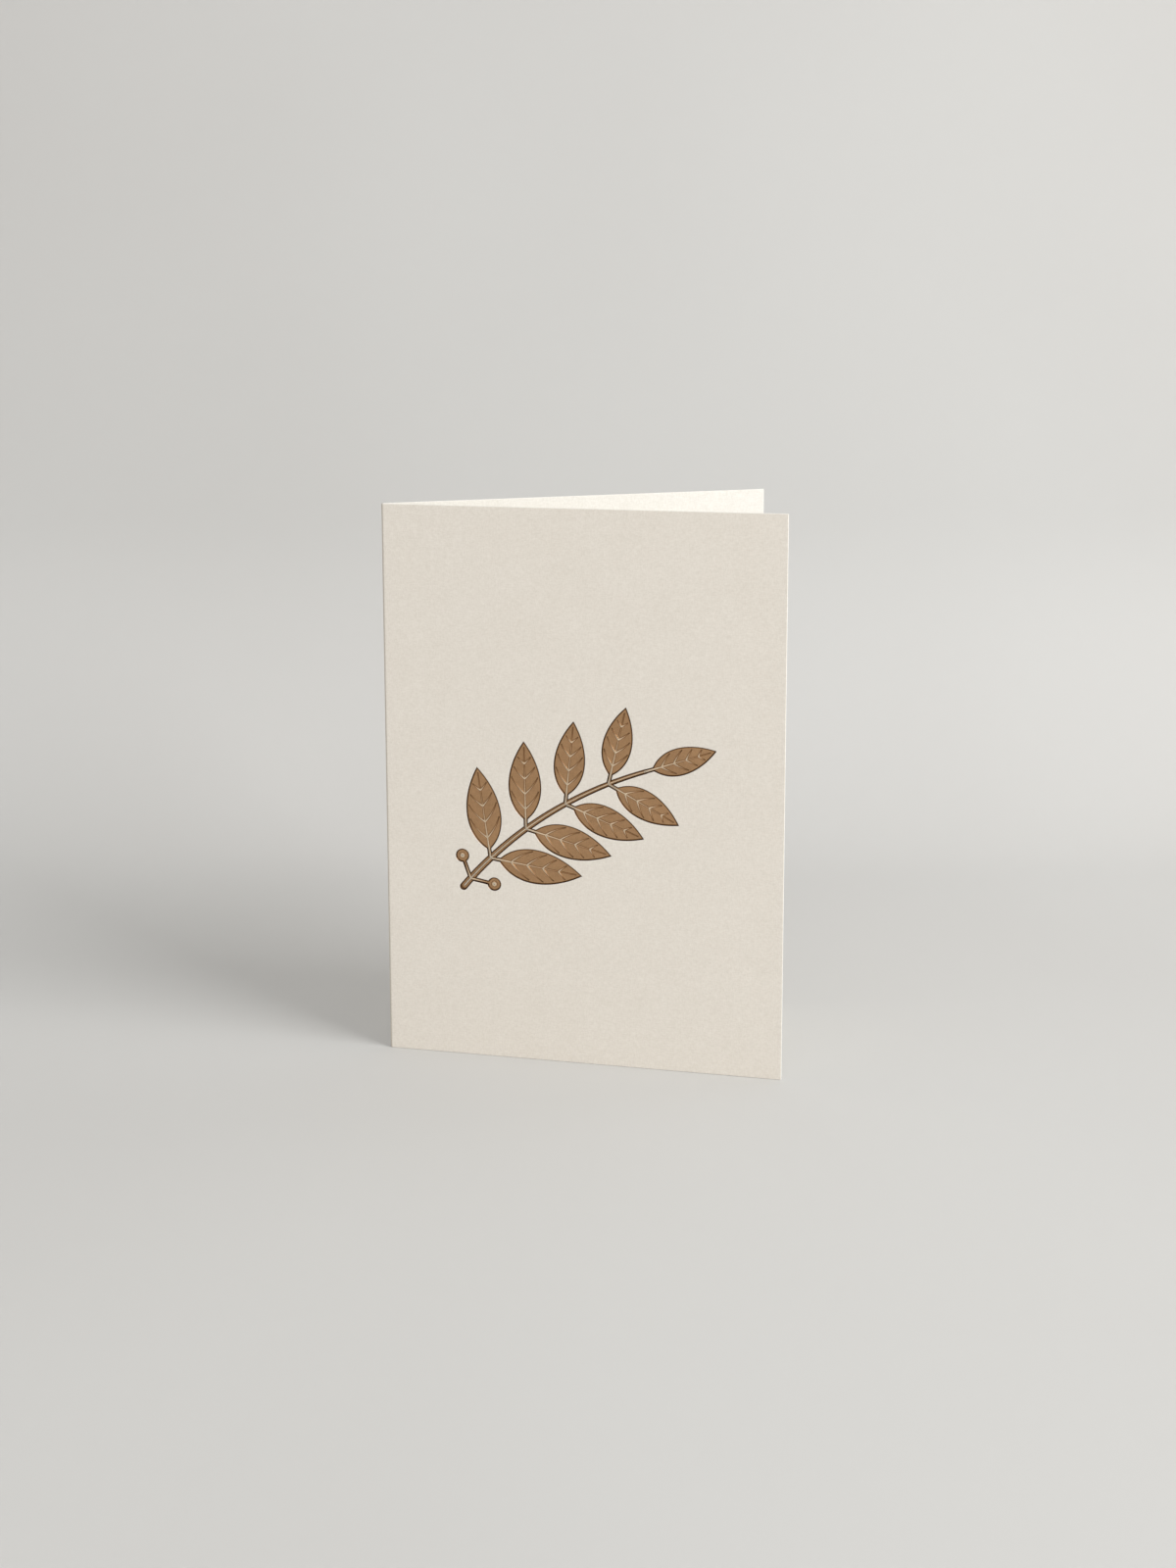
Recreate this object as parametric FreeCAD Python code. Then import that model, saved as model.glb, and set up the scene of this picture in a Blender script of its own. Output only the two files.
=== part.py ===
import FreeCAD, Part
import math
import os

# A folded greeting card that stands open as a narrow V. One sheet of stiff ivory card is scored and
# folded once. Its front panel carries a leafy spray that is pressed into the card and lined with
# foil, with ribs for the stem and the veins, and the press raises the same shape on the inner face.
# Frame: +Z up, fold towards -X, front panel towards -Y, origin under the middle of the open card.
# Millimetres and degrees.

# Sheet
panel_width = 105.0
panel_height = 148.0
stock_thickness = 0.45
fold_inner_radius = 0.25
opening_angle = 25.4
cut_edge_crush = 0.1

# Press and foil, with depths measured from the outer face of the front panel
press_depth = 0.25
foil_thickness = 0.08
foil_clearance = 0.04
rib_width = 0.55
rib_height = 0.13
reverse_height = 0.1
reverse_spread = 0.2

# Spray: a bent stem with pairs of leaves, one leaf at its tip and two berries at its foot
spray_drop = 2.0
spray_shift = 2.3
stem_heading = 35.0
stem_bend = 32.0
stem_foot_width = 2.0
stem_tip_width = 1.2
bare_stem = 11.0
leaf_pairs = 4
leaf_pitch = 12.8
bare_tip = 10.0
leaf_splay = 53.0
first_leaf_length = 22.5
end_leaf_length = 17.5
leaf_slenderness = 2.45
stalk_length = 2.2
stalk_width = 1.1
stalk_overlap = 1.0
vein_pairs = 4
vein_splay = 50.0
vein_radius = 14.0
vein_gap = 0.5
midrib_gap = 1.5
berry_position = 3.0
berry_splay = 60.0
berry_reach = 6.5
berry_diameter = 3.6
berry_dome_diameter = 1.4

# Where the middle poles of a leaf's edge and its first and last veins lie, as shares of its length
base_pull = 0.20
tip_pull = 0.62
first_vein_share = 0.15
last_vein_share = 0.72

UP = FreeCAD.Vector(0, 0, 1)
CUBIC_RISE = 0.75  # how far a cubic edge rises towards its two middle poles

half_angle = math.radians(opening_angle / 2)
fold_outer_radius = fold_inner_radius + stock_thickness
fold_arc = (math.pi / 2 - half_angle) * (fold_inner_radius + stock_thickness / 2)
flat_width = panel_width - fold_arc
reach = flat_width * math.cos(half_angle) - fold_inner_radius * math.sin(half_angle)
fold_x = (fold_outer_radius - reach) / 2

stem_length = bare_stem + (leaf_pairs - 1) * leaf_pitch + bare_tip
stem_radius = stem_length / math.radians(stem_bend)
spray_length = stem_length + stalk_length + end_leaf_length
foil_top = foil_thickness - press_depth


def vector(x, y, z=0.0):
    return FreeCAD.Vector(x, y, z)


def towards(degrees, length=1.0):
    angle = math.radians(degrees)
    return vector(length * math.cos(angle), length * math.sin(angle))


def turned(point, degrees):
    return FreeCAD.Placement(point, FreeCAD.Rotation(UP, degrees))


def placed(shape, place):
    moved = shape.copy()
    moved.Placement = place * shape.Placement
    return moved


def outline(edges):
    """The flat face inside a ring of edges, given in any order."""
    return Part.Face(Part.Wire(Part.__sortEdges__(edges)))


def arc(start, middle, end):
    return Part.Arc(start, middle, end).toShape()


def line(start, end):
    return Part.LineSegment(start, end).toShape()


def joined(shapes):
    return shapes[0].multiFuse(shapes[1:]).removeSplitter()


# The sheet

def section_point(side, distance, radius):
    """A point of the V's section: side is 1 at the back and -1 at the front, distance is measured
    along the panel, and the radius picks the layer by its distance from the fold's centre."""
    along = vector(math.cos(half_angle), side * math.sin(half_angle))
    outward = vector(-math.sin(half_angle), side * math.cos(half_angle))
    return vector(fold_x, 0) + along * distance + outward * radius


def sheet():
    """The V: an arc for the fold and a straight panel on each side, on both faces of the stock."""
    edges = []
    for radius in (fold_outer_radius, fold_inner_radius):
        starts = [section_point(side, 0, radius) for side in (-1, 1)]
        edges.append(arc(starts[0], vector(fold_x - radius, 0), starts[1]))
        edges += [line(start, section_point(side, flat_width, radius))
                  for side, start in zip((-1, 1), starts)]
    for side in (-1, 1):
        edges.append(line(section_point(side, flat_width, fold_outer_radius),
                          section_point(side, flat_width, fold_inner_radius)))
    solid = outline(edges).extrude(UP * panel_height)
    return solid.makeChamfer(cut_edge_crush, cut_edges(solid))


def cut_edges(solid):
    """The edges round the sheet's two faces. The upright lines where the fold meets the panels and
    the short corners across the stock stay sharp."""
    found = []
    for edge in solid.Edges:
        upright = edge.BoundBox.ZLength > panel_height / 2
        across = isinstance(edge.Curve, Part.Line) and edge.Length < 1.5 * stock_thickness
        if (upright and edge.BoundBox.XMin > 0) or not (upright or across):
            found.append(edge)
    return found


def on_front(shape):
    """Moves a shape from the front panel's own plane, x from the fold and y up, on to the card."""
    corner = section_point(-1, 0, fold_outer_radius)
    along = section_point(-1, 1, fold_outer_radius) - corner
    return placed(shape, FreeCAD.Placement(corner, FreeCAD.Rotation(along, UP, along.cross(UP))))


# The spray, drawn in the front panel's own plane

def stem_heading_at(distance):
    return stem_heading + stem_bend * (0.5 - distance / stem_length)


def stem_point(distance):
    """The point of the stem's centre line that lies this far from its foot."""
    middle = vector(panel_width / 2 - spray_shift, panel_height / 2 - spray_drop)
    centre = middle + towards(stem_heading_at(spray_length / 2) - 90, stem_radius)
    return centre + towards(stem_heading_at(distance) + 90, stem_radius)


def stem_side(distance, side, margin):
    share = distance / stem_length
    width = stem_foot_width + (stem_tip_width - stem_foot_width) * share
    return stem_point(distance) + towards(stem_heading_at(distance) + side * 90, width / 2 - margin)


def stem_face(margin):
    foot, middle, tip = margin, stem_length / 2, stem_length
    left, right = [[stem_side(at, side, margin) for at in (foot, middle, tip)] for side in (1, -1)]
    foot_end = stem_point(foot) - towards(stem_heading_at(foot), stem_foot_width / 2 - margin)
    return outline(
        [arc(*left), line(left[2], right[2]), arc(*right), arc(right[0], foot_end, left[0])])


def stalk_face(length, margin):
    """A stalk along +X, from the stem's centre line."""
    width = stalk_width - 2 * margin
    return Part.makePlane(length, width, vector(0, -width / 2))


def leaf_faces(length, margin):
    """A leaf along +X from the stem's centre line: its stalk, and a blade that is a pointed oval.
    The margin draws the blade in from its edges, and so further in from its two points."""
    half_width = length / leaf_slenderness / 2
    base_angle = math.atan2(half_width / CUBIC_RISE, base_pull * length)
    tip_angle = math.atan2(half_width / CUBIC_RISE, (1 - tip_pull) * length)
    base = vector(stalk_length + margin / math.sin(base_angle), 0)
    tip = vector(stalk_length + length - margin / math.sin(tip_angle), 0)
    lift = vector(0, (half_width - margin) / CUBIC_RISE)
    sides = []
    for side in (1, -1):
        edge = Part.BezierCurve()
        edge.setPoles([base, base + (tip - base) * base_pull + lift * side,
                       base + (tip - base) * tip_pull + lift * side, tip])
        sides.append(edge.toShape())
    return [stalk_face(stalk_length + stalk_overlap, margin), outline(sides)]


def berry_faces(margin):
    circle = Part.makeCircle(berry_diameter / 2 - margin, vector(berry_reach, 0))
    return [stalk_face(berry_reach, margin), outline([circle])]


def leaves():
    """Each length of leaf, with the places on the stem of the leaves that have it."""
    found = []
    for pair in range(leaf_pairs):
        length = first_leaf_length + (end_leaf_length - first_leaf_length) * pair / leaf_pairs
        found.append((length, side_places(bare_stem + pair * leaf_pitch, leaf_splay)))
    tip = turned(stem_point(stem_length), stem_heading_at(stem_length))
    return found + [(end_leaf_length, [tip])]


def side_places(distance, splay):
    """A place on each side of the stem, turned away from it by the splay."""
    heading = stem_heading_at(distance)
    return [turned(stem_point(distance), heading + side * splay) for side in (1, -1)]


def copies(shapes, places):
    return [placed(shape, place) for place in places for shape in shapes]


def spray_block(margin, low, high):
    """The whole spray as a block between two levels, drawn in by the margin, or out where that is
    below zero."""
    faces = [stem_face(margin)] + copies(berry_faces(margin), side_places(berry_position, berry_splay))
    for length, places in leaves():
        faces += copies(leaf_faces(length, margin), places)
    return joined([lifted(face, low, high) for face in faces])


def lifted(face, low, high):
    block = face.extrude(UP * (high - low))
    block.translate(UP * low)
    return block


# The foil: a plate on the pocket's floor, with low ridges on it for the stem and the veins

def plates(faces):
    return [lifted(face, -press_depth, foil_top) for face in faces]


def rib_section(point, heading):
    """The section of a rib that sets off from the point: a low ridge, rooted inside the plate."""
    across = towards(heading + 90, rib_width / 2)
    foot = point + UP * (foil_top - foil_thickness / 2)
    crest = point + UP * (foil_top + rib_height)
    return outline([line(foot - across, foot + across), line(foot + across, crest),
                    line(crest, foot - across)])


def straight_rib(length):
    return rib_section(vector(0, 0), 0).extrude(vector(length, 0))


def curved_rib(start, heading, turn, radius, sweep):
    """A rib along an arc that turns left where turn is 1 and right where it is -1."""
    centre = start + towards(heading + turn * 90, radius)
    return rib_section(start, heading).revolve(centre, UP * turn, sweep)


def leaf_foil(length):
    """One leaf with its midrib and its curved side veins, which stop short of the leaf's edge."""
    stalk, blade = plates(leaf_faces(length, foil_clearance))
    vein_limit = lifted(leaf_faces(length, foil_clearance + vein_gap)[1], -press_depth, 0)
    step = (last_vein_share - first_vein_share) / (vein_pairs - 1)
    sweep = math.degrees(length / leaf_slenderness / vein_radius)
    veins = []
    for number in range(vein_pairs):
        start = vector(stalk_length + length * (first_vein_share + step * number), 0)
        for side in (1, -1):
            vein = curved_rib(start, side * vein_splay, -side, vein_radius, sweep)
            veins.append(vein.common(vein_limit))
    return joined([blade, stalk, straight_rib(stalk_length + length - midrib_gap)] + veins)


def berry_foil():
    """One berry with a shallow dome in its middle, and a rib along its stalk."""
    stalk, berry = plates(berry_faces(foil_clearance))
    spread = berry_dome_diameter / 2
    ball_radius = (spread ** 2 + rib_height ** 2) / (2 * rib_height)
    ball = Part.makeSphere(ball_radius, vector(berry_reach, 0, foil_top + rib_height - ball_radius))
    pin = Part.makeCylinder(spread, 2 * rib_height, vector(berry_reach, 0, foil_top - foil_thickness / 2))
    return joined([berry, stalk, straight_rib(berry_reach - berry_diameter / 2), pin.common(ball)])


def foil_stamp():
    stem_rib = curved_rib(stem_point(0), stem_heading_at(0), -1, stem_radius, stem_bend)
    pieces = [joined(plates([stem_face(foil_clearance)]) + [stem_rib])]
    pieces += copies([berry_foil()], side_places(berry_position, berry_splay))
    for length, places in leaves():
        pieces += copies([leaf_foil(length)], places)
    return on_front(joined(pieces))


def folded_card():
    """The sheet with the pocket for the foil, and the same shape raised on the inner face."""
    pocket = spray_block(0, -press_depth, press_depth)
    rooted = (press_depth + stock_thickness) / 2
    reverse = spray_block(-reverse_spread, -stock_thickness - reverse_height, -rooted)
    return joined([sheet(), on_front(reverse)]).cut(on_front(pocket))


os.makedirs("parts", exist_ok=True)
nodes = {
    "folded_card": folded_card(),
    "foil_stamp": foil_stamp(),
}
for name, shape in nodes.items():
    shape.exportStep("parts/" + name + ".step")
    print(name, len(shape.Solids), "solid, valid:", shape.isValid(), "volume:", round(shape.Volume, 2))
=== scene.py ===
# %% [markdown]
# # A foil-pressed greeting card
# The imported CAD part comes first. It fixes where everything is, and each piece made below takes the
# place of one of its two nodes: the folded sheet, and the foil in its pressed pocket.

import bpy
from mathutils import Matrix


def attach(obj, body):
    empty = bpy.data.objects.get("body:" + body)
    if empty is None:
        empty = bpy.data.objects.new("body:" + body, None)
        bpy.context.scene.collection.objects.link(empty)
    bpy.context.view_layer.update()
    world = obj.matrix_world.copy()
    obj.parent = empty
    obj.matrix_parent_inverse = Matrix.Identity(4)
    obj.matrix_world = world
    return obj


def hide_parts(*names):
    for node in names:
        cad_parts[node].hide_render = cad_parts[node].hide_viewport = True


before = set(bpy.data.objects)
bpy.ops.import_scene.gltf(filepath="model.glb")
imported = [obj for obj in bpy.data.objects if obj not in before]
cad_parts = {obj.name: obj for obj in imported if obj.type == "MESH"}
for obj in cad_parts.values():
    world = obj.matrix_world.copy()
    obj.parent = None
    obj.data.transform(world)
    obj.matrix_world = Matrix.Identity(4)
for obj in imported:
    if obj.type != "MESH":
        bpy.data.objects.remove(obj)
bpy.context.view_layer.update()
print("nodes:", sorted(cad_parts))

# %% [markdown]
# ## The camera
# The photograph was taken by hand about half a metre from the card, a little above it, and then
# framed so that the card stands below the middle. A camera could be tilted until that looks right,
# but the card's upright edges would then lean. A shift moves the frame and keeps them as they are.
# The small middle turn is the tenth of a degree by which the hand was askew.

# %% Aim the camera
import math

import bpy
from mathutils import Matrix, Vector

MM = 0.001
LENS, CAMERA_SHIFT = 40.57, (0.0017, -0.1853)
CAMERA_PLACE = (-13.3, -454.1, 211.9)
CAMERA_TURNS = (90 - 7.73, 0.12, -1.89)
scene = bpy.context.scene

lens = bpy.data.cameras.new("camera")
lens.lens = LENS
lens.shift_x, lens.shift_y = CAMERA_SHIFT
lens.clip_start, lens.clip_end = 0.01, 20
camera = bpy.data.objects.new("camera", lens)
camera.location = Vector(CAMERA_PLACE) * MM
camera.rotation_euler = [math.radians(turn) for turn in CAMERA_TURNS]
scene.collection.objects.link(camera)
scene.camera = camera
print("camera stands", round(camera.location.length, 3), "m from the foot of the card")

# %% [markdown]
# ## The sheet
# The real card is one sheet, scored and folded, so its section is a V with a small round fold. It
# could be a plane with Solidify, but a fold with an outer radius of only 0.7 mm would then come out
# as a crease. Here one short edge, as long as the stock is thick, is spun round the fold. The two
# panels grow from its ends, and that strip is the section of the card.

# %% Draw the section of the fold
import bmesh

PANEL_WIDTH, PANEL_HEIGHT, STOCK = 105.0, 148.0, 0.45
FOLD_RADIUS = 0.25
HALF_OPENING = math.radians(25.4 / 2)
FOLD_STEPS = 20

outer_radius = FOLD_RADIUS + STOCK
flat_width = PANEL_WIDTH - (math.pi / 2 - HALF_OPENING) * (FOLD_RADIUS + STOCK / 2)
fold_x = (outer_radius - flat_width * math.cos(HALF_OPENING)
          + FOLD_RADIUS * math.sin(HALF_OPENING)) / 2


def along_panel(side):
    """The direction from the fold to the mouth: side is 1 for the back panel and -1 for the front."""
    return Vector((math.cos(HALF_OPENING), side * math.sin(HALF_OPENING), 0))


def out_of_panel(side):
    """The direction that a panel's outside faces."""
    return Vector((-math.sin(HALF_OPENING), side * math.cos(HALF_OPENING), 0))


sheet = bmesh.new()
fold_centre = Vector((fold_x, 0, 0))
ends = [sheet.verts.new(fold_centre + out_of_panel(-1) * r) for r in (outer_radius, FOLD_RADIUS)]
front_edge = sheet.edges.new(ends)
spun = bmesh.ops.spin(sheet, geom=[front_edge], cent=fold_centre, axis=(0, 0, 1),
                      angle=-(math.pi - 2 * HALF_OPENING), steps=FOLD_STEPS, use_merge=False)
back_edge = [part for part in spun["geom_last"] if isinstance(part, bmesh.types.BMEdge)][0]
print("fold of", FOLD_STEPS, "steps, flat panels of", round(flat_width, 2), "mm")

# %% [markdown]
# Each end edge of the fold is drawn out by the width of a flat panel, which finishes the section.
# The section lies flat on the table, and raising all of it by the card's height makes a closed
# solid. Extrusion can leave some faces turned inwards, so the normals are worked out once more.

# %% Draw out the panels and raise the sheet
for edge, side in ((front_edge, -1), (back_edge, 1)):
    drawn = bmesh.ops.extrude_edge_only(sheet, edges=[edge])["geom"]
    mouth = [part for part in drawn if isinstance(part, bmesh.types.BMVert)]
    bmesh.ops.translate(sheet, vec=along_panel(side) * flat_width, verts=mouth)

raised = bmesh.ops.extrude_face_region(sheet, geom=sheet.faces[:])["geom"]
top = [part for part in raised if isinstance(part, bmesh.types.BMVert)]
bmesh.ops.translate(sheet, vec=(0, 0, PANEL_HEIGHT), verts=top)
bmesh.ops.recalc_face_normals(sheet, faces=sheet.faces[:])
print("sheet volume", round(sheet.calc_volume()), "cubic mm")

# %% [markdown]
# A guillotine crushes the edges that it cuts, and handling rounds them a little more. That is why a
# bright line runs down the side of the card in the photograph. Bevel turns the sharp edges, and
# only those: the steps of the fold meet at small angles and are left as they are.

# %% Round the cut edges
CUT_EDGE_RADIUS = 0.2
SHARP_EDGE = math.radians(40)

cut_edges = [edge for edge in sheet.edges if edge.calc_face_angle(0) > SHARP_EDGE]
bmesh.ops.bevel(sheet, geom=cut_edges, offset=CUT_EDGE_RADIUS, segments=3, profile=0.5,
                affect="EDGES", material=-1)


def as_object(bm, name):
    """Keeps a finished bmesh as the mesh of a new object."""
    mesh = bpy.data.meshes.new(name)
    bm.to_mesh(mesh)
    bm.free()
    piece = bpy.data.objects.new(name, mesh)
    scene.collection.objects.link(piece)
    return piece


def report(piece):
    """Prints how large a mesh is, and whether each of its edges has its two faces."""
    bm = bmesh.new()
    bm.from_mesh(piece.data)
    loose = sum(len(edge.link_faces) != 2 for edge in bm.edges)
    print(piece.name, "has", len(bm.faces), "faces,", loose, "open edges and a volume of",
          round(bm.calc_volume(), 2))
    bm.free()


card = as_object(sheet, "card_sheet")
print(len(cut_edges), "edges rounded")
report(card)

# %% [markdown]
# ## The press
# The picture on the front is stamped: a metal die pushes the card in, and heat leaves a skin of foil
# at the bottom. The die could be drawn in one outline, but a spray is easier to draw as what it is:
# a stem, leaves with their stalks, and berries. Each gets a function that gives its outline in the
# flat plane of the front panel, drawn in by a margin, or out by a negative one.

# %% Draw the stem
SPRAY_SHIFT, SPRAY_DROP = 2.3, 2.0
STEM_HEADING, STEM_BEND = 35.0, 32.0
STEM_FOOT_WIDTH, STEM_TIP_WIDTH = 2.0, 1.2
BARE_STEM, LEAF_PAIRS, LEAF_PITCH, BARE_TIP = 11.0, 4, 12.8, 10.0
STALK_LENGTH, STALK_WIDTH = 2.2, 1.1
STALK_ROOT, STEM_OVERLAP = -0.1, 0.7
FIRST_LEAF, END_LEAF = 22.5, 17.5

spray_middle = Vector((PANEL_WIDTH / 2 - SPRAY_SHIFT, PANEL_HEIGHT / 2 - SPRAY_DROP, 0))
stem_length = BARE_STEM + (LEAF_PAIRS - 1) * LEAF_PITCH + BARE_TIP
stem_radius = stem_length / math.radians(STEM_BEND)
spray_length = stem_length + STALK_LENGTH + END_LEAF


def towards(degrees, length=1.0):
    angle = math.radians(degrees)
    return Vector((length * math.cos(angle), length * math.sin(angle), 0))


def stem_heading(distance):
    """The direction in which the stem grows at this distance from its foot, in degrees."""
    return STEM_HEADING + STEM_BEND * (0.5 - distance / stem_length)


def stem_point(distance):
    """The point of the stem's middle line that lies this far from its foot."""
    centre = spray_middle + towards(stem_heading(spray_length / 2) - 90, stem_radius)
    return centre + towards(stem_heading(distance) + 90, stem_radius)


def stem_outline(margin, steps=28, foot_steps=9):
    """Up one side of the stem, down the other, and round its foot."""
    points = []
    end = stem_length + STEM_OVERLAP - margin
    for side in (1, -1):
        for step in range(steps + 1)[::side]:
            distance = margin + (end - margin) * step / steps
            share = distance / stem_length
            half = (STEM_FOOT_WIDTH + (STEM_TIP_WIDTH - STEM_FOOT_WIDTH) * share) / 2 - margin
            points.append(stem_point(distance) + towards(stem_heading(distance) + side * 90, half))
    for step in range(1, foot_steps):
        turn = stem_heading(margin) - 90 - 180 * step / foot_steps
        points.append(stem_point(margin) + towards(turn, STEM_FOOT_WIDTH / 2 - margin))
    return points


print("stem of", round(stem_length, 1), "mm on a radius of", round(stem_radius, 1), "mm")

# %% [markdown]
# A leaf's edge is one Bezier curve on each side, from the stalk to the tip. Blender's own function
# divides such a curve into points. The widest place lies nearer the stalk, because the first
# handle is short and the second is long. Where the curve would run inside the stalk, it follows the
# stalk instead, so that the two are one outline. A berry is a circle that opens into its stalk.

# %% Draw a leaf and a berry
from mathutils.geometry import interpolate_bezier

LEAF_SLENDERNESS, BASE_PULL, TIP_PULL, CUBIC_RISE = 2.45, 0.20, 0.62, 0.75
BERRY_REACH, BERRY_DIAMETER = 6.5, 3.6


def leaf_edge(length, margin, steps=30):
    """The left edge of a leaf that grows along X, from its base to its tip."""
    half = length / LEAF_SLENDERNESS / 2
    base_angle = math.atan2(half / CUBIC_RISE, BASE_PULL * length)
    tip_angle = math.atan2(half / CUBIC_RISE, (1 - TIP_PULL) * length)
    base = Vector((STALK_LENGTH + margin / math.sin(base_angle), 0, 0))
    tip = Vector((STALK_LENGTH + length - margin / math.sin(tip_angle), 0, 0))
    lift = Vector((0, (half - margin) / CUBIC_RISE, 0))
    pulls = [base + (tip - base) * pull + lift for pull in (BASE_PULL, TIP_PULL)]
    return interpolate_bezier(base, *pulls, tip, steps + 1)


def leaf_outline(length, margin):
    """A leaf with its stalk, from the stalk's root round the tip and back."""
    stalk = STALK_WIDTH / 2 - margin
    left = [Vector((STALK_ROOT + margin, stalk, 0))]
    for point in leaf_edge(length, margin):
        beside_stalk = point.x < STALK_LENGTH + length / 2
        left.append(Vector((point.x, max(point.y, stalk) if beside_stalk else point.y, 0)))
    return left + [Vector((point.x, -point.y, 0)) for point in left[-2::-1]]


def berry_outline(margin, steps=40):
    """A berry with its stalk: the stalk's two root corners, then round the berry."""
    stalk, radius = STALK_WIDTH / 2 - margin, BERRY_DIAMETER / 2 - margin
    mouth = math.degrees(math.asin(stalk / radius))
    rim = [Vector((BERRY_REACH, 0, 0)) + towards(180 - mouth - (360 - 2 * mouth) * step / steps, radius)
           for step in range(steps + 1)]
    return [Vector((STALK_ROOT + margin, side * stalk, 0)) for side in (-1, 1)] + rim


print("a leaf's outline has", len(leaf_outline(FIRST_LEAF, 0)), "points")

# %% [markdown]
# Now the outlines are put in their places: the leaves in pairs along the stem, one at its tip, and
# two berries low down. The list holds a place and an outline for each, and everything that follows,
# from the pocket to the veins, is made from this one list.

# %% Place the leaves and berries
LEAF_SPLAY, BERRY_POSITION, BERRY_SPLAY = 53.0, 3.0, 60.0


def turned(point, degrees):
    return Matrix.Translation(point) @ Matrix.Rotation(math.radians(degrees), 4, "Z")


def both_sides(distance, splay):
    """Two places at this distance along the stem, turned away to its left and right."""
    return [turned(stem_point(distance), stem_heading(distance) + side * splay)
            for side in (1, -1)]


leaves = [(END_LEAF, turned(stem_point(stem_length), stem_heading(stem_length)))]
for pair in range(LEAF_PAIRS):
    length = FIRST_LEAF + (END_LEAF - FIRST_LEAF) * pair / LEAF_PAIRS
    leaves += [(length, place) for place in both_sides(BARE_STEM + pair * LEAF_PITCH, LEAF_SPLAY)]

berries = both_sides(BERRY_POSITION, BERRY_SPLAY)
outlines = [(Matrix(), stem_outline)] + [(place, berry_outline) for place in berries]
outlines += [(place, lambda margin, length=length: leaf_outline(length, margin))
             for length, place in leaves]
print(len(leaves), "leaves,", len(berries), "berries,", len(outlines), "outlines")

# %% [markdown]
# Card doesn't break at the die's edge as metal would: it rolls over it. So the wall of the pocket
# leans, and ends in a round lip. The die presses hardest along its edges, which leaves a groove by
# the wall and a floor that is pillowed between the grooves. The same outline is laid down several
# times, each time at another height and with another margin, and bridge_loops spans the rings. The
# ends are filled with small triangles, because one face with hundreds of corners can't be drawn
# reliably. Each corner of a face also notes how much painted shade the foil gets there.

# %% Stack an outline into a block
DIE_WALL = [(0.45, -0.24), (0.38, -0.2447), (0.31, -0.2605), (0.245, -0.28), (0.19, -0.2912),
            (0.14, -0.295), (0.105, -0.235), (0.06, -0.18), (0.02, -0.095), (-0.03, -0.045),
            (-0.10, -0.014), (-0.20, 0.004), (-0.22, 0.4)]
LEVEL_STEP = 0.003
FLOOR, GROOVE = DIE_WALL[0][1], min(height for margin, height in DIE_WALL)


def painted_shade_highlight(bm, tone_at):
    """Notes at each face's corners the foil's painted light: 1 is painted shade, -1 a painted
    highlight.
    """
    tone = bm.loops.layers.float.new("painted_shade_highlight")
    for face in bm.faces:
        for loop in face.loops:
            loop[tone] = tone_at(loop.vert.co.z)


def wall_shade(height):
    """No painted shade on the floor, and full painted shade from the bottom of the groove upwards."""
    return 1.0 if height > FLOOR + LEVEL_STEP else (FLOOR - height) / (FLOOR - GROOVE)


def ring(bm, points, height):
    verts = [bm.verts.new((point.x, point.y, height)) for point in points]
    return [bm.edges.new(pair) for pair in zip(verts, verts[1:] + verts[:1])]


def block(outline, wall, place, name):
    """A solid whose wall passes through the outline at each margin and height of the list."""
    bm = bmesh.new()
    rings = [ring(bm, outline(margin), height) for margin, height in wall]
    for lower, upper in zip(rings, rings[1:]):
        bmesh.ops.bridge_loops(bm, edges=lower + upper)
    for end in (rings[0], rings[-1]):
        bmesh.ops.triangle_fill(bm, use_beauty=True, edges=end)
    bmesh.ops.recalc_face_normals(bm, faces=bm.faces[:])
    # Painted shade on the groove and the wall of the pocket.
    painted_shade_highlight(bm, wall_shade)
    bmesh.ops.transform(bm, matrix=place, verts=bm.verts[:])
    return as_object(bm, name)


print("the die's wall has", len(DIE_WALL), "rings, and its groove lies", GROOVE, "mm deep")

# %% [markdown]
# The blocks are then united, so that stem, stalks and leaves meet without walls between. An exact
# Boolean does that, with all blocks as one collection, and it keeps the notes at the corners. It
# wants no two floors in one plane, so the stem, the left pieces and the right pieces differ in
# height by some thousandths of a millimetre.

# %% Unite the blocks into a die
def applied(piece, name):
    """The piece's mesh with its modifiers in it, as a new object in place of the old one."""
    bpy.context.view_layer.update()
    graph = bpy.context.evaluated_depsgraph_get()
    mesh = bpy.data.meshes.new_from_object(piece.evaluated_get(graph))
    bpy.data.objects.remove(piece)
    made = bpy.data.objects.new(name, mesh)
    scene.collection.objects.link(made)
    return made


def combined(base, others, operation, name):
    """Joins or cuts solids exactly, and clears the operands away."""
    operands = bpy.data.collections.new("operands")
    for other in others:
        operands.objects.link(other)
    change = base.modifiers.new(operation, "BOOLEAN")
    change.operation, change.solver = operation, "EXACT"
    change.operand_type, change.collection = "COLLECTION", operands
    result = applied(base, name)
    for spent in others:
        bpy.data.objects.remove(spent)
    bpy.data.collections.remove(operands)
    return result


def united_spray(wall, name):
    """The whole spray as one solid, with its blocks a step apart in height."""
    blocks = []
    for index, (place, outline) in enumerate(outlines):
        lift = Matrix.Translation((0, 0, LEVEL_STEP * (1 + index % 2) if index else 0))
        blocks.append(block(outline, wall, place @ lift, name + "_part"))
    return combined(blocks[0], blocks[1:], "UNION", name)


die = united_spray(DIE_WALL, "die")
plain_die = bpy.data.objects.new("plain_die", die.data.copy())
report(die)
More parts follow.
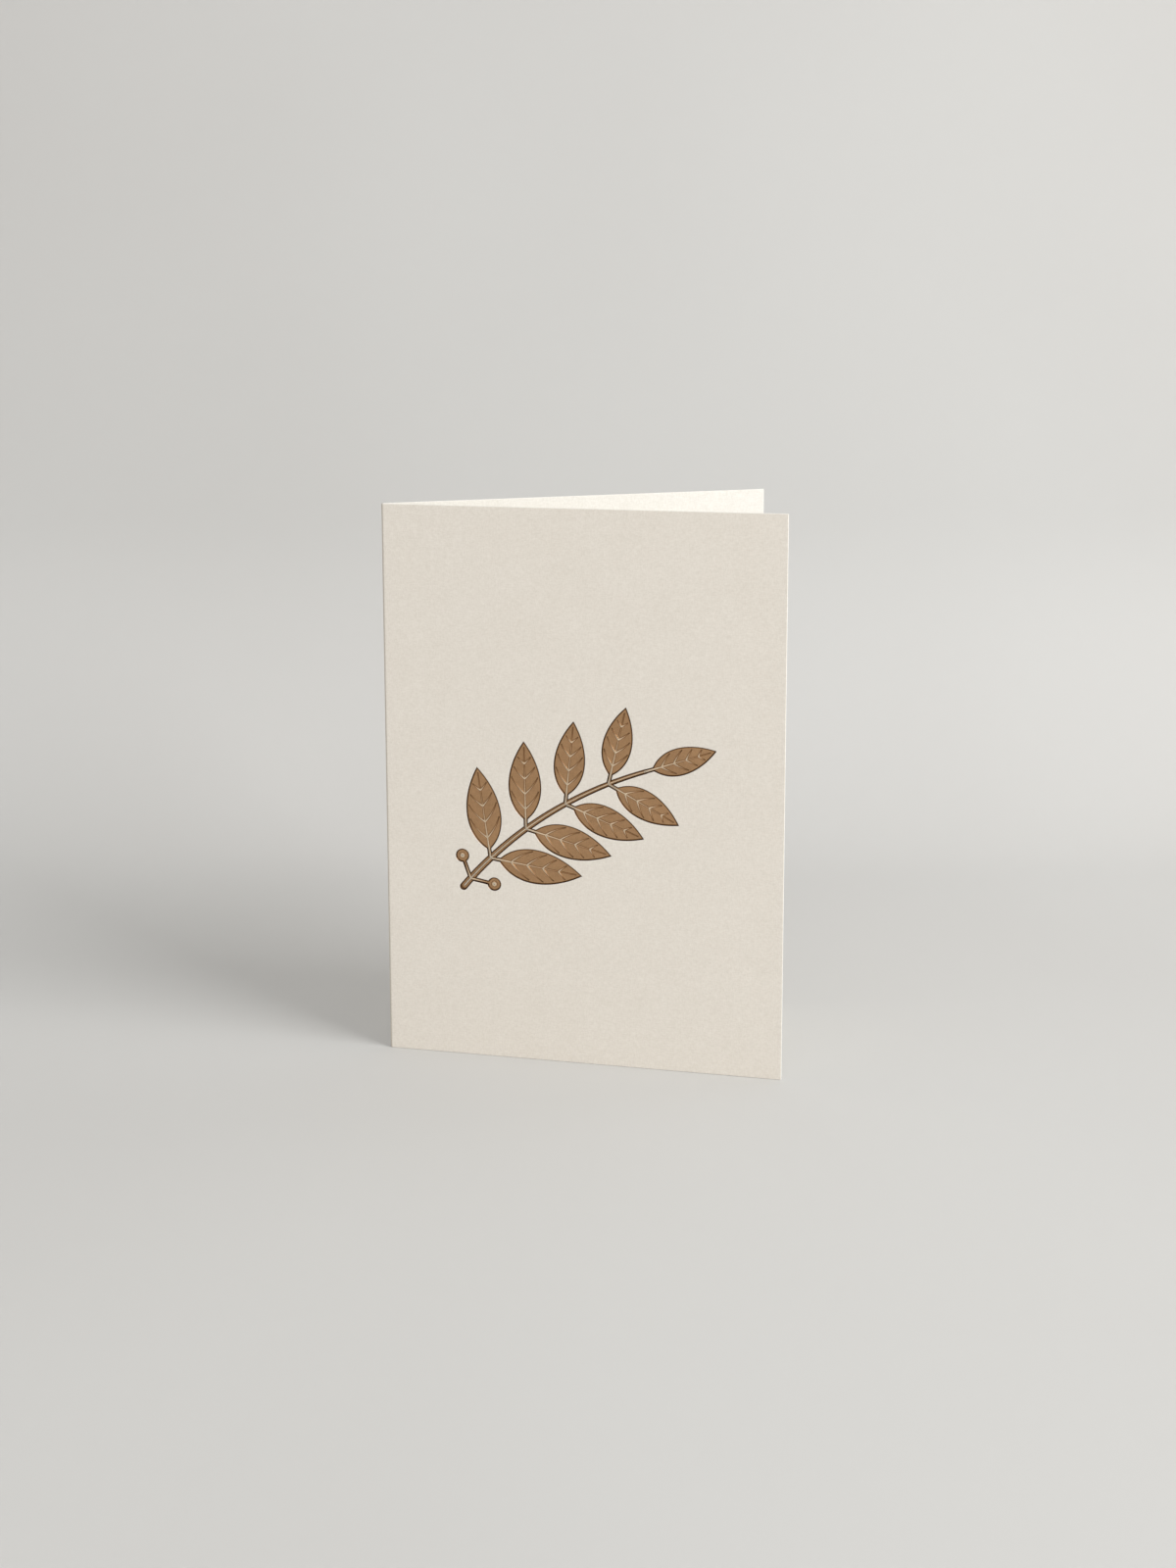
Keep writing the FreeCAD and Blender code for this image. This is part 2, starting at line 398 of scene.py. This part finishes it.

# %% [markdown]
# The die has grooves for the stem and the veins, and the card and its foil rise into them as round
# ribs that run out to nothing. A spline with a bevel makes such a rib at once, and the radius of
# each of its points makes the taper. The tube is sunk until only its crown shows, and the rest is
# cut off below the floor. The foil gets painted shade at the rib's foot, and a painted highlight and
# more gloss on its crest.

# %% Shape a rib
RIB_ROOT, RIB_RADIUS, RIB_HEIGHT = -0.36, 0.37, 0.215
RIB_FOOT_SHADE, RIB_SHADE_FALL = 1.3, 2.5
MERGE_DISTANCE = 0.0001
STEM_KNOTS, STEM_TAPER = 40, (1.0, 0.85)
STEM_RIB_START, STEM_RIB_OVERRUN = 0.2, 0.4


def rib(points, shares, place, name="rib"):
    """A round rib along the points, with a share of the full radius at each."""
    curve = bpy.data.curves.new(name, "CURVE")
    curve.dimensions = "3D"
    curve.bevel_depth, curve.bevel_resolution, curve.use_fill_caps = RIB_RADIUS, 6, True
    spline = curve.splines.new("POLY")
    spline.points.add(len(points) - 1)
    for knot, point, share in zip(spline.points, points, shares):
        knot.co = (point.x, point.y, FLOOR + RIB_HEIGHT - RIB_RADIUS, 1)
        knot.radius = share
    tube = bpy.data.objects.new(name, curve)
    scene.collection.objects.link(tube)
    tube = applied(tube, name)
    bm = bmesh.new()
    bm.from_mesh(tube.data)
    bpy.data.objects.remove(tube)
    bmesh.ops.remove_doubles(bm, verts=bm.verts[:], dist=MERGE_DISTANCE)
    return crown(bm, place, name)


def crown(bm, place, name):
    """Keeps what stands above the ribs' root, and closes it below."""
    everything = bm.verts[:] + bm.edges[:] + bm.faces[:]
    bmesh.ops.bisect_plane(bm, geom=everything, plane_co=(0, 0, RIB_ROOT), plane_no=(0, 0, 1),
                           clear_inner=True)
    bmesh.ops.holes_fill(bm, edges=bm.edges[:], sides=0)
    bmesh.ops.recalc_face_normals(bm, faces=bm.faces[:])
    # Painted shade at the rib's foot, turning to a painted highlight on its crest.
    painted_shade_highlight(bm, lambda height: RIB_FOOT_SHADE - RIB_SHADE_FALL * (height - FLOOR) / RIB_HEIGHT)
    bmesh.ops.transform(bm, matrix=place, verts=bm.verts[:])
    return as_object(bm, name)


def spaced(start, end, count):
    """Numbers from start to end, evenly apart."""
    return [start + (end - start) * step / (count - 1) for step in range(count)]


distances = spaced(STEM_RIB_START, stem_length + STEM_RIB_OVERRUN, STEM_KNOTS)
ribs = [rib([stem_point(at) for at in distances], spaced(*STEM_TAPER, STEM_KNOTS), Matrix())]
report(ribs[0])

# %% [markdown]
# A vein leaves the midrib at an angle and bends towards the tip. How far it goes follows from the
# leaf: it walks along its arc until it comes near the edge, so that short and long leaves both
# have veins that end just inside them.

# %% Draw the veins of the leaves
VEIN_PAIRS, VEIN_SPLAY, VEIN_RADIUS = 4, 50.0, 14.0
VEIN_GAP, MIDRIB_GAP = 0.55, 1.5
FIRST_VEIN, LAST_VEIN = 0.15, 0.72
MIDRIB_KNOTS, MIDRIB_TAPER, VEIN_TAPER = 12, (1.0, 0.66), (0.96, 0.6)


def leaf_half_width(length, x):
    """How far the leaf's edge is from its middle line at x, or zero beyond its ends."""
    edge = leaf_edge(length, VEIN_GAP)
    for near, far in zip(edge, edge[1:]):
        if near.x <= x <= far.x:
            return near.y + (far.y - near.y) * (x - near.x) / (far.x - near.x)
    return 0.0


def vein_points(length, share, side, step=0.25):
    """The points of a vein that starts at this share of the leaf's length."""
    start = Vector((STALK_LENGTH + length * share, 0, 0))
    centre = start + towards(side * (VEIN_SPLAY - 90), VEIN_RADIUS)
    points = [start]
    while abs(points[-1].y) <= leaf_half_width(length, points[-1].x):
        walked = math.degrees(step * len(points) / VEIN_RADIUS)
        points.append(centre + towards(side * (VEIN_SPLAY + 90 - walked), VEIN_RADIUS))
    return points[:-1]


for length, place in leaves:
    reach = STALK_LENGTH + length - MIDRIB_GAP
    midrib = [Vector((x, 0, 0)) for x in spaced(0, reach, MIDRIB_KNOTS)]
    ribs.append(rib(midrib, spaced(*MIDRIB_TAPER, MIDRIB_KNOTS), place))
    for share in spaced(FIRST_VEIN, LAST_VEIN, VEIN_PAIRS):
        for side in (1, -1):
            points = vein_points(length, share, side)
            ribs.append(rib(points, spaced(*VEIN_TAPER, len(points)), place))
print(len(ribs), "ribs so far")

# %% [markdown]
# Each berry has a shallow dome in its middle and a rib on its stalk. The dome is a flattened ball,
# cut off as the ribs are. Then all of it is cut out of the die. A plain copy was kept for the card,
# because the ribs are only seen on the foil that covers them.

# %% Raise the berries and cut the ribs into the die
DOME_RADIUS, DOME_HEIGHT = 0.85, 0.2
STALK_KNOTS, STALK_TAPER = 6, (0.98, 0.75)

for place in berries:
    ball = bmesh.new()
    bmesh.ops.create_uvsphere(ball, u_segments=32, v_segments=24, radius=DOME_RADIUS)
    bmesh.ops.scale(ball, vec=(1, 1, DOME_HEIGHT / DOME_RADIUS), verts=ball.verts[:])
    bmesh.ops.translate(ball, vec=(BERRY_REACH, 0, FLOOR), verts=ball.verts[:])
    ribs.append(crown(ball, place, "dome"))
    reach = BERRY_REACH - BERRY_DIAMETER / 2
    stalk = [Vector((x, 0, 0)) for x in spaced(0, reach, STALK_KNOTS)]
    ribs.append(rib(stalk, spaced(*STALK_TAPER, STALK_KNOTS), place))

die = combined(die, ribs, "DIFFERENCE", "die")
report(die)

# %% [markdown]
# The press also shows inside the card, where the same shape stands up softly. It is built from the
# same outlines with a wider and flatter wall, and joined to the sheet before the pocket is cut.
# The die lies in the flat plane of the panel. One matrix carries it to the open card, and its
# inverse brings the card to the die, which is exact where the shapes are finest.

# %% Press the card
REVERSE_WALL = [(0.15, -0.55), (0.03, -0.546), (-0.06, -0.53), (-0.13, -0.50), (-0.19, -0.467),
                (-0.25, -0.45), (-0.28, -0.40)]

corner = fold_centre + out_of_panel(-1) * outer_radius
front_panel = Matrix.Translation(corner) @ Matrix(
    (along_panel(-1), (0, 0, 1), out_of_panel(-1))).transposed().to_4x4()

card.data.transform(front_panel.inverted())
card = combined(card, [united_spray(REVERSE_WALL, "reverse")], "UNION", "card_sheet")
card = combined(card, [plain_die], "DIFFERENCE", "card_sheet")
card.data.transform(front_panel)
report(card)

# %% [markdown]
# The photograph shows one more thing about the stock. Its outside is toned a pale beige, while the
# inside and the cut edges are nearly white, so the tone is only skin deep. The fold gets a darker
# line of painted shade, where it turns away from the light. Both follow the sheet, not a direction
# in space, so each point of the mesh gets two numbers: how deep it lies, and how far round the
# fold it is.

# %% Mark the toned skin and the fold
TONE_DEPTH = 0.1


def skin_and_crease(point):
    """How much of the outer tone a point has, and how close it is to the middle of the fold, which sets
    the fold's painted shade.
    """
    across = Vector((point.x, point.y, 0)) - fold_centre
    side = 1 if across.y > 0 else -1
    beyond_fold = across.dot(along_panel(side))
    reach = across.length if beyond_fold < 0 else across.dot(out_of_panel(side))
    return max(0.0, 1 - (outer_radius - reach) / TONE_DEPTH), max(0.0, -beyond_fold / reach)


marks = [skin_and_crease(vert.co) for vert in card.data.vertices]
for name, values in zip(("toned", "crease"), zip(*marks)):
    card.data.attributes.new(name, "FLOAT", "POINT").data.foreach_set("value", values)
    print(name, "on", sum(value > 0 for value in values), "of", len(values), "points")

# %% [markdown]
# ## The foil
# Foil is a skin a few thousandths of a millimetre thick, and the die carries it a little way up the
# wall of the pocket. A painted patch would lose that edge. So the foil is the die's own face, cut
# off below the lip, turned over and given a thickness with Solidify. That thickness is a hundredth
# of a millimetre, a little more than the real one, which lifts the foil's face clear of the card.

# %% Lay the foil
FOIL_EDGE, FOIL_THICKNESS = -0.045, 0.01

skin = bmesh.new()
skin.from_mesh(die.data)
bpy.data.objects.remove(die)
bmesh.ops.bisect_plane(skin, geom=skin.verts[:] + skin.edges[:] + skin.faces[:],
                       plane_co=(0, 0, FOIL_EDGE), plane_no=(0, 0, 1), clear_outer=True)
bmesh.ops.reverse_faces(skin, faces=skin.faces[:])
foil = as_object(skin, "foil_spray")
thick = foil.modifiers.new("thick", "SOLIDIFY")
thick.thickness, thick.offset = FOIL_THICKNESS, 1
foil = applied(foil, "foil_spray")
foil.data.transform(front_panel)
report(foil)

# %% [markdown]
# ## Finish the meshes
# Both pieces were drawn in millimetres, as a printer measures them, and the scene is in metres.
# Round lips and ribs are shaded smoothly, and real corners stay sharp. On its own that would bend
# the light across the big flat panels as well, so Weighted Normal lets the largest face at each
# point decide.

# %% Scale and shade the pieces
KEEP_SHARP = math.radians(42)
FACE_WEIGHT = 90


def finished(piece):
    """Scales a piece to metres and gives it smooth shading that keeps flat faces flat."""
    piece.data.transform(Matrix.Scale(MM, 4))
    piece.data.shade_smooth()
    piece.data.set_sharp_from_angle(angle=KEEP_SHARP)
    weighted = piece.modifiers.new("weighted", "WEIGHTED_NORMAL")
    weighted.mode, weighted.weight, weighted.keep_sharp = "FACE_AREA", FACE_WEIGHT, True
    triangles = sum(len(face.vertices) - 2 for face in piece.data.polygons)
    print(piece.name, "makes about", triangles, "triangles")


finished(card)
finished(foil)

# %% [markdown]
# ## A grain that both materials share
# Uncoated card is made of fibres, and under foil they still show as a faint unevenness. One node
# group draws that grain, and each material takes as much of it as it needs. Two noises drawn out
# crosswise look like fibres that lie both ways, and a slow third one gives the cloudiness of the
# pulp. The materials give the group Object coordinates, so the grain has one size all over the card.

# %% Build the fibre grain group
FIBRE_SCALE, FIBRE_STRETCH = 3000, 3.0
CLOUD_SCALE, EVEN = 90, (1.0, 1.0, 1.0)


def node(tree, kind, **settings):
    """A new node, with each setting put in the socket or the property of that name."""
    made = tree.nodes.new(kind)
    for name, value in settings.items():
        if name in made.inputs:
            made.inputs[name].default_value = value
        else:
            setattr(made, name, value)
    return made


def noise(tree, vector, scale, detail, stretch):
    """A noise whose marks are drawn out by the stretch along each axis."""
    mapping = node(tree, "ShaderNodeMapping", Scale=tuple(1 / s for s in stretch))
    texture = node(tree, "ShaderNodeTexNoise", Scale=scale, Detail=detail)
    tree.links.new(vector, mapping.inputs["Vector"])
    tree.links.new(mapping.outputs["Vector"], texture.inputs["Vector"])
    return texture.outputs["Fac"]


grain = bpy.data.node_groups.new("fibre_grain", "ShaderNodeTree")
grain.interface.new_socket("Vector", in_out="INPUT", socket_type="NodeSocketVector")
grain.interface.new_socket("Clouding", in_out="INPUT", socket_type="NodeSocketFloat")
for name in ("Fibres", "Clouds", "Height"):
    grain.interface.new_socket(name, in_out="OUTPUT", socket_type="NodeSocketFloat")

group_in, group_out = node(grain, "NodeGroupInput"), node(grain, "NodeGroupOutput")
vector = group_in.outputs["Vector"]
level = noise(grain, vector, FIBRE_SCALE, 2.0, (FIBRE_STRETCH, FIBRE_STRETCH, 1.0))
upright = noise(grain, vector, FIBRE_SCALE, 2.0, (1.0, 1.0, FIBRE_STRETCH))
clouds = noise(grain, vector, CLOUD_SCALE, 3.0, EVEN)
fibres = node(grain, "ShaderNodeMath", operation="ADD")
half = node(grain, "ShaderNodeMath", operation="MULTIPLY")
half.inputs[1].default_value = 0.5
height = node(grain, "ShaderNodeMix", data_type="FLOAT")
grain.links.new(level, fibres.inputs[0])
grain.links.new(upright, fibres.inputs[1])
grain.links.new(fibres.outputs[0], half.inputs[0])
grain.links.new(group_in.outputs["Clouding"], height.inputs["Factor"])
grain.links.new(half.outputs[0], height.inputs["A"])
grain.links.new(clouds, height.inputs["B"])
grain.links.new(half.outputs[0], group_out.inputs["Fibres"])
grain.links.new(clouds, group_out.inputs["Clouds"])
grain.links.new(height.outputs["Result"], group_out.inputs["Height"])
print("fibre_grain has", len(grain.nodes), "nodes")

# %% [markdown]
# Both materials are wired from the same few parts: a ramp between two colours, a change of range, a
# blend of two colours, a bump, and the number that a mesh attribute holds. The group is placed in
# each material, and the Principled shader stays outside it, where an exporter can read it.

# %% Wire a material
def ramp(tree, factor, low, high, start=0.0, end=1.0):
    """Blends two colours while the factor goes from start to end."""
    made = node(tree, "ShaderNodeValToRGB")
    made.color_ramp.elements[0].position, made.color_ramp.elements[0].color = start, (*low, 1)
    made.color_ramp.elements[1].position, made.color_ramp.elements[1].color = end, (*high, 1)
    tree.links.new(factor, made.inputs["Fac"])
    return made.outputs["Color"]


def span(tree, factor, low, high, start=0.3, end=0.7):
    """Carries a factor from one range of numbers to another."""
    made = node(tree, "ShaderNodeMapRange", **{"From Min": start, "From Max": end,
                                               "To Min": low, "To Max": high})
    tree.links.new(factor, made.inputs["Value"])
    return made.outputs["Result"]


def blended(tree, under, over, factor=1.0, blend_type="MIX"):
    """Blends over on under. Each of over and factor is a socket or a plain value."""
    made = node(tree, "ShaderNodeMix", data_type="RGBA", blend_type=blend_type)
    tree.links.new(under, made.inputs["A"])
    for socket, value in (("B", over), ("Factor", factor)):
        if isinstance(value, bpy.types.NodeSocket):
            tree.links.new(value, made.inputs[socket])
        else:
            made.inputs[socket].default_value = value
    return made.outputs["Result"]


def bumped(tree, shader, height, strength, distance):
    made = node(tree, "ShaderNodeBump", Strength=strength, Distance=distance)
    tree.links.new(height, made.inputs["Height"])
    tree.links.new(made.outputs["Normal"], shader.inputs["Normal"])


def marked(tree, name):
    """The number that a mesh attribute holds."""
    return node(tree, "ShaderNodeAttribute", attribute_name=name).outputs["Fac"]


def new_material(name, clouding):
    """A Principled material with the grain group on Object coordinates."""
    material = bpy.data.materials.new(name)
    material.use_nodes = True
    tree = material.node_tree
    place = node(tree, "ShaderNodeTexCoord")
    fibre = node(tree, "ShaderNodeGroup", node_tree=grain)
    fibre.inputs["Clouding"].default_value = clouding
    tree.links.new(place.outputs["Object"], fibre.inputs["Vector"])
    return material, tree, tree.nodes["Principled BSDF"], fibre


stock, tree, shader, fibre = new_material("ivory_card", 0.25)
print(stock.name, "starts with", len(tree.nodes), "nodes")

# %% [markdown]
# ## The card stock
# The stock is a thick uncoated card. A flat colour looks like plastic, because paper is never
# even. The fibres lighten and darken the colour by a few hundredths, the clouds by less, and the
# same fibres raise the surface by some thousandths of a millimetre. The toned skin is multiplied
# over the white of the stock, and the painted shade along the fold over both.

# %% Finish the card stock
PULP_DARK, PULP_PALE = (0.885, 0.864, 0.817), (0.98, 0.966, 0.928)
CLOUD_DARK, CLOUD_PALE = (0.984, 0.981, 0.977), (1.0, 1.0, 1.0)
SKIN_TONE, FOLD_SHADE_TONE = (0.995, 0.957, 0.916, 1), (0.62, 0.59, 0.55, 1)

fine = ramp(tree, fibre.outputs["Fibres"], PULP_DARK, PULP_PALE, 0.34, 0.66)
slow = ramp(tree, fibre.outputs["Clouds"], CLOUD_DARK, CLOUD_PALE, 0.3, 0.7)
pulp = blended(tree, fine, slow, 1.0, "MULTIPLY")
toned = blended(tree, pulp, SKIN_TONE, marked(tree, "toned"), "MULTIPLY")
# Painted shade along the fold, darkest at its middle, where it turns away from the light.
fold_shaded = blended(tree, toned, FOLD_SHADE_TONE, marked(tree, "crease"), "MULTIPLY")
tree.links.new(fold_shaded, shader.inputs["Base Color"])
tree.links.new(span(tree, fibre.outputs["Fibres"], 0.78, 0.92), shader.inputs["Roughness"])
shader.inputs["Specular IOR Level"].default_value = 0.3
bumped(tree, shader, fibre.outputs["Height"], 0.5, 0.03 * MM)
card.data.materials.append(stock)
print("card stock of", len(tree.nodes), "nodes")

# %% [markdown]
# ## The foil's finish
# Bronze stamping foil is a metal, but the die leaves it satin: broad soft reflections, a little
# blotchy where the heat was uneven. So the metal is fully metallic, its roughness wanders with
# the clouds, and the fibres under it break the surface up very slightly. In the grooves and beside
# the ribs the colour is darkened to a dark brown as painted shade, and the crests of the ribs are
# pale as a painted highlight and are also glossier. The mesh carries both as one attribute, which
# the Boolean has kept at every corner. A thin clear coat stands for the foil's lacquer, which
# makes the glints cream and not orange.

# %% Finish the bronze foil
BRONZE_DARK, BRONZE_PALE = (0.395, 0.208, 0.088), (0.515, 0.282, 0.13)
PAINTED_SHADE_TONE, PAINTED_HIGHLIGHT_TONE = (0.105, 0.052, 0.022, 1), (0.87, 0.72, 0.53, 1)
SATIN_LOW, SATIN_HIGH, POLISHED_ROUGHNESS = 0.26, 0.36, 0.16

bronze, tree, shader, fibre = new_material("bronze_foil", 0.35)
tint = ramp(tree, fibre.outputs["Height"], BRONZE_DARK, BRONZE_PALE, 0.36, 0.64)
relief_light = marked(tree, "painted_shade_highlight")
groove_painted_shade = span(tree, relief_light, 0.0, 1.0, 0.05, 0.75)
highlight_and_gloss = span(tree, relief_light, 1.0, 0.0, -0.9, 0.1)
crests = blended(tree, tint, PAINTED_HIGHLIGHT_TONE, highlight_and_gloss)
# Painted shade in the grooves and at the ribs' feet, and a painted highlight on the crests.
tree.links.new(blended(tree, crests, PAINTED_SHADE_TONE, groove_painted_shade), shader.inputs["Base Color"])
gloss = node(tree, "ShaderNodeMix", data_type="FLOAT")
gloss.inputs["B"].default_value = POLISHED_ROUGHNESS
tree.links.new(highlight_and_gloss, gloss.inputs["Factor"])
tree.links.new(span(tree, fibre.outputs["Clouds"], SATIN_LOW, SATIN_HIGH), gloss.inputs["A"])
tree.links.new(gloss.outputs["Result"], shader.inputs["Roughness"])
shader.inputs["Metallic"].default_value = 1.0
shader.inputs["Coat Weight"].default_value = 0.2
shader.inputs["Coat Roughness"].default_value = 0.12
bumped(tree, shader, fibre.outputs["Height"], 0.35, 0.02 * MM)
foil.data.materials.append(bronze)
print("bronze foil of", len(tree.nodes), "nodes")

# %% [markdown]
# ## Hand the pieces to the part
# Each piece stands for one CAD node and moves with the part's only body.

# %% Replace the nodes
for piece, node_name, slot in ((card, "folded_card", "card_stock"),
                               (foil, "foil_stamp", "bronze_foil")):
    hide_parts(node_name)
    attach(piece, "root")
print("pieces ride on the root body")

# %% [markdown]
# ## The stage
# A sheet of pale paper lies under the card and sweeps up close behind it, which is why the
# photograph shows no horizon, only a soft change of tone. The sheet's section is one edge, drawn
# out for the floor, spun for the bend and drawn out again for the wall.

# %% Lay the sweep
FLOOR_FRONT, WALL_BACK, BEND, WALL_HEIGHT, HALF_WIDTH = -2.0, 0.235, 0.11, 1.6, 2.0

sweep = bmesh.new()
front = [sweep.verts.new((x, FLOOR_FRONT, 0)) for x in (-HALF_WIDTH, HALF_WIDTH)]


def drawn_out(bm, edge, offset):
    """Draws an edge out into a face, and returns the new edge."""
    made = bmesh.ops.extrude_edge_only(bm, edges=[edge])["geom"]
    verts = [part for part in made if isinstance(part, bmesh.types.BMVert)]
    bmesh.ops.translate(bm, vec=offset, verts=verts)
    return [part for part in made if isinstance(part, bmesh.types.BMEdge)][0]


edge = drawn_out(sweep, sweep.edges.new(front), (0, WALL_BACK - BEND - FLOOR_FRONT, 0))
bend = bmesh.ops.spin(sweep, geom=[edge], cent=(0, WALL_BACK - BEND, BEND), axis=(1, 0, 0),
                      angle=math.pi / 2, steps=24, use_merge=False)
edge = [part for part in bend["geom_last"] if isinstance(part, bmesh.types.BMEdge)][0]
drawn_out(sweep, edge, (0, 0, WALL_HEIGHT))
bmesh.ops.recalc_face_normals(sweep, faces=sweep.faces[:])
if sum(face.normal.z for face in sweep.faces) < 0:
    bmesh.ops.reverse_faces(sweep, faces=sweep.faces[:])
backdrop = as_object(sweep, "sweep")
backdrop.data.shade_smooth()
print("sweep box", [round(side, 2) for side in backdrop.dimensions], "m")

# %% [markdown]
# The paper is matt and nearly even, and slow blotches keep its tone from looking painted on. The
# side that faces away from the card is clear, so that the wall, seen from behind, never stands
# between the card and a camera. Geometry's Backfacing tells the two sides apart.

# %% Paint the sweep
SWEEP_DARK, SWEEP_PALE = (0.66, 0.657, 0.65), (0.695, 0.697, 0.692)

paper = bpy.data.materials.new("backdrop_paper")
paper.use_nodes = True
tree = paper.node_tree
shader = tree.nodes["Principled BSDF"]
shader.inputs["Roughness"].default_value = 0.95
shader.inputs["Specular IOR Level"].default_value = 0.1
place = node(tree, "ShaderNodeTexCoord")
blotches = noise(tree, place.outputs["Object"], 3.0, 2.0, EVEN)
tree.links.new(ramp(tree, blotches, SWEEP_DARK, SWEEP_PALE, 0.35, 0.65),
               shader.inputs["Base Color"])
clear = node(tree, "ShaderNodeBsdfTransparent")
facing = node(tree, "ShaderNodeNewGeometry")
choose = node(tree, "ShaderNodeMixShader")
output = tree.nodes["Material Output"]
tree.links.new(facing.outputs["Backfacing"], choose.inputs[0])
tree.links.new(shader.outputs[0], choose.inputs[1])
tree.links.new(clear.outputs[0], choose.inputs[2])
tree.links.new(choose.outputs[0], output.inputs["Surface"])
backdrop.data.materials.append(paper)
print("sweep painted with", len(tree.nodes), "nodes")

# %% [markdown]
# ## The light
# In the photograph the inside of the back panel is brighter than the front panel, and the ribs glint
# on their right sides. So the light is a large soft window to the right of the camera, and the
# room fills in the rest. The two lamps are soft boxes, and the world gives an even glow.

# %% Set the lamps
CARD_MIDDLE = (0, 0, 0.075)
ROOM_COLOUR, ROOM_GLOW = (1.0, 0.983, 0.955, 1), 0.5


def soft_box(name, place, aim, size, watts, colour):
    """A square lamp at a place, turned to its aim, which cameras don't see."""
    lamp = bpy.data.lights.new(name, "AREA")
    lamp.shape, lamp.size, lamp.energy, lamp.color = "SQUARE", size, watts, colour
    holder = bpy.data.objects.new(name, lamp)
    holder.location = place
    holder.rotation_euler = (Vector(aim) - Vector(place)).to_track_quat("-Z", "Y").to_euler()
    holder.visible_camera = False
    scene.collection.objects.link(holder)


soft_box("window", place=(1.64, -0.87, 1.09), aim=CARD_MIDDLE, size=1.2, watts=33.5,
         colour=(1.0, 0.99, 0.965))
soft_box("fill", place=(-0.75, -1.6, 0.75), aim=CARD_MIDDLE, size=1.2, watts=2.6,
         colour=(1.0, 0.95, 0.9))

world = bpy.data.worlds.new("room")
scene.world = world
world.use_nodes = True
glow = world.node_tree.nodes["Background"]
glow.inputs["Color"].default_value = ROOM_COLOUR
glow.inputs["Strength"].default_value = ROOM_GLOW
print("two lamps and the room's glow")

# %% [markdown]
# ## Finish
# The view transform is Standard, so that a colour comes out as it was written.

scene.view_settings.view_transform = "Standard"
